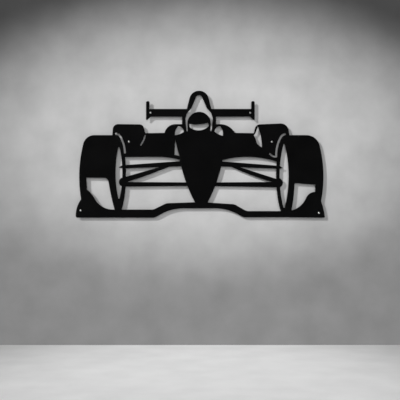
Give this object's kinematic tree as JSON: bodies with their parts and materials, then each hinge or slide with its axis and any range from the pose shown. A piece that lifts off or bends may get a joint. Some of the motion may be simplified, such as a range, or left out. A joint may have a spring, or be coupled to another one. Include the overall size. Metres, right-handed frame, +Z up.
{
  "type": "racing car wall panel",
  "caption": "Flat black sheet steel wall panel cut in the outline of an open wheel racing car seen from the front, held off the wall on spacers by pan head screws.",
  "frame": {"origin": "on the wall plane, midway between the middle pair of screws", "axes": "+X across the panel to the viewer's right, +Y into the wall, +Z up; the panel's face looks to -Y"},
  "size_m": [0.9999, 0.0526, 0.5095],
  "materials": {
    "panel_black": "satin black powder coat",
    "spacer_black": "matt moulded nylon",
    "screw_zinc": "bright zinc plate"
  },
  "bodies": {
    "root": {"panel": "panel_black", "spacer_rear_wing_left": "spacer_black", "spacer_rear_wing_right": "spacer_black", "spacer_rear_tyre_left": "spacer_black", "spacer_rear_tyre_right": "spacer_black", "spacer_front_wing_left": "spacer_black", "spacer_front_wing_right": "spacer_black", "screw_rear_wing_left": "screw_zinc", "screw_rear_wing_right": "screw_zinc", "screw_rear_tyre_left": "screw_zinc", "screw_rear_tyre_right": "screw_zinc", "screw_front_wing_left": "screw_zinc", "screw_front_wing_right": "screw_zinc"}
  },
  "joints": []
}
